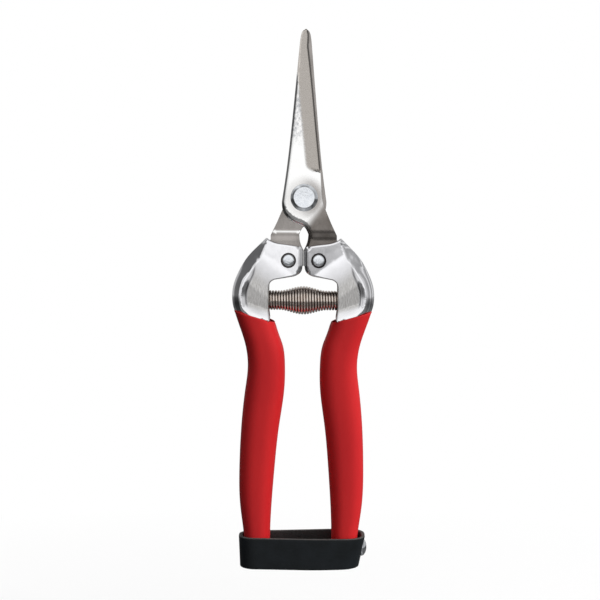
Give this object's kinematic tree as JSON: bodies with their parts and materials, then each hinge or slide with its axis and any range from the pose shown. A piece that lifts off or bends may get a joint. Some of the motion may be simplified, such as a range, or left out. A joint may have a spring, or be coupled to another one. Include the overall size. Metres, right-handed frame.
{
  "type": "floral snips",
  "caption": "Spring-opened floral snips with slim crossing blades, channel handles in dipped grips, and a leather strap that holds them shut.",
  "frame": {"origin": "centre of the bounding box on the plane that the strap's lower edge and the closed grips stand on", "axes": "+Z from the handle ends to the blade tips, +Y along the pivot from front to back, +X across the handles to the right"},
  "size_m": [0.05, 0.0166, 0.19],
  "materials": {
    "blade_steel": "ground and polished stainless steel",
    "rivet_steel": "satin",
    "plated_steel": "bright plated pressed steel, lightly brushed",
    "vinyl_grip": "dipped vinyl, low sheen",
    "spring_steel": "bright drawn wire with a bronze tint",
    "leather": "smooth black leather"
  },
  "bodies": {
    "right_half": {"right_handle": "plated_steel", "front_blade": "blade_steel", "right_grip": "vinyl_grip", "right_tang_rivet": "rivet_steel", "pivot_rivet": "rivet_steel", "pivot_washer": "rivet_steel", "spring": "spring_steel", "strap_rivet": "rivet_steel", "strap_washer": "rivet_steel"},
    "left_half": {"left_handle": "plated_steel", "rear_blade": "blade_steel", "left_grip": "vinyl_grip", "left_tang_rivet": "rivet_steel"},
    "strap": {"strap": "leather"}
  },
  "joints": [
    {"name": "blade_pivot", "type": "hinge", "parent": "right_half", "child": "left_half", "pos_m": [0, 0, 0.1315], "axis": [0, 1, 0], "range_deg": [0, 22], "deforming": ["spring", "strap"]},
    {"name": "strap_swing", "type": "hinge", "parent": "right_half", "child": "strap", "pos_m": [0.0213, 0, 0.0072], "axis": [0, -1, 0], "range_deg": [0, 90], "deforming": ["strap"]}
  ]
}
